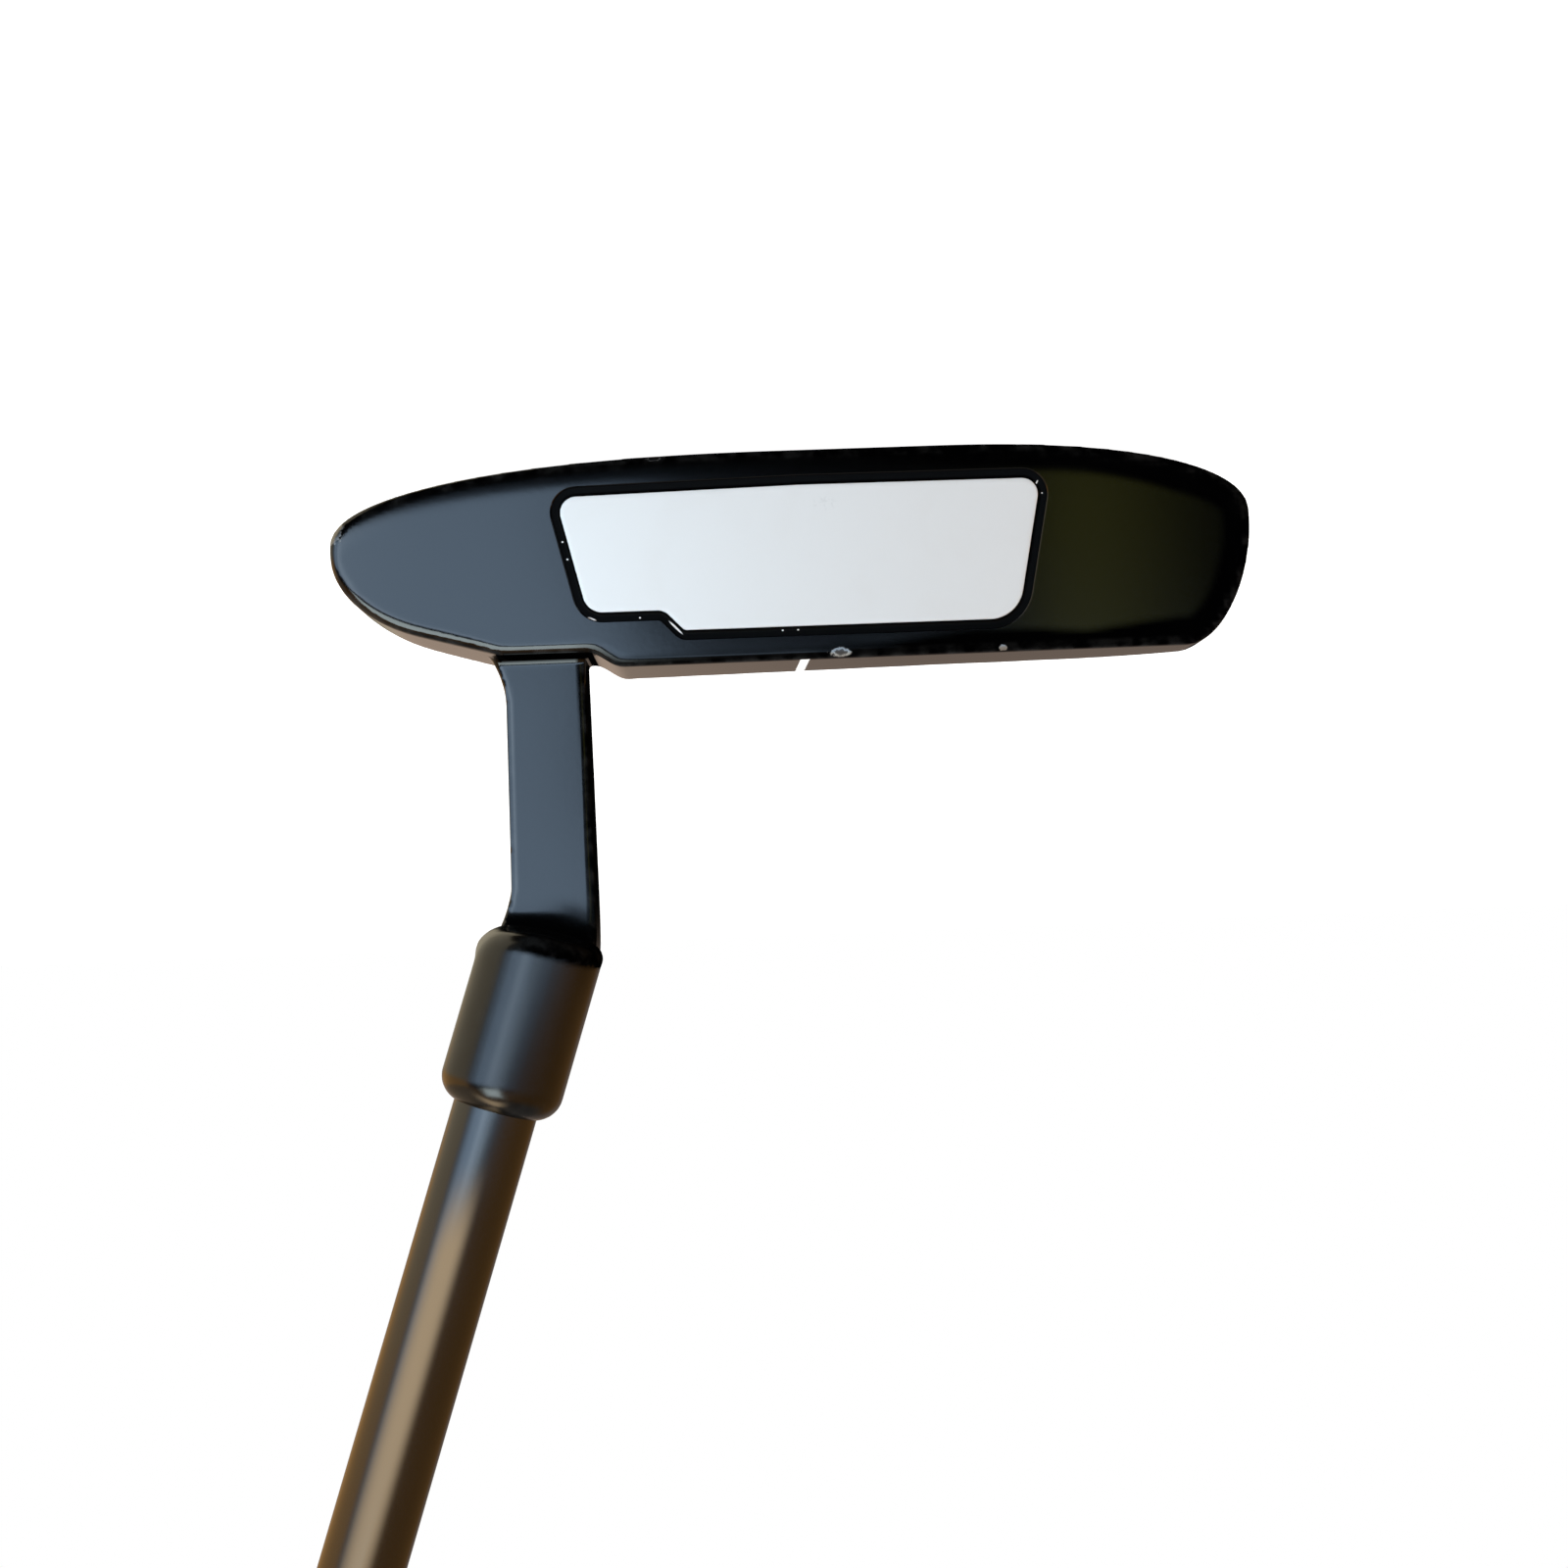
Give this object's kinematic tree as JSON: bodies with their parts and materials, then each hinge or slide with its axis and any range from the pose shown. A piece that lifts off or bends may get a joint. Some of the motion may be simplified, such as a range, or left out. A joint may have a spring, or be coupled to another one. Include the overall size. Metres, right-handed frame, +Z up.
{
  "type": "blade putter",
  "caption": "Right-handed heel-toe blade putter with a plumber's neck, a white face insert in a black resin bead, a stepped steel shaft and a pistol grip with a flat thumb side.",
  "frame": {"origin": "middle of the flat land of the sole, under the aiming mark, where the club meets the ground at address", "axes": "+X towards the heel and the player, +Y backwards from the face, so that the ball is struck along -Y, +Z up"},
  "size_m": [0.3471, 0.0452, 0.8243],
  "materials": {
    "head_paint": "satin black paint on cast steel",
    "insert_urethane": "smooth white urethane",
    "bead_resin": "glossy black resin",
    "bonding_tape": "matt foam tape",
    "mark_paint": "white paint fill",
    "shaft_paint": "satin black paint on steel tube",
    "epoxy": "cured adhesive",
    "plug_cork": "pressed cork",
    "grip_tape_paper": "paper tape",
    "grip_rubber": "matt black rubber",
    "cap_rubber": "smooth black rubber"
  },
  "bodies": {
    "root": {"putter_head": "head_paint", "face_insert": "insert_urethane", "insert_bead": "bead_resin", "insert_tape": "bonding_tape", "sight_line": "mark_paint", "shaft": "shaft_paint", "shaft_epoxy": "epoxy", "tip_plug": "plug_cork", "grip_tape": "grip_tape_paper", "grip": "grip_rubber", "grip_cap": "cap_rubber"}
  },
  "joints": []
}
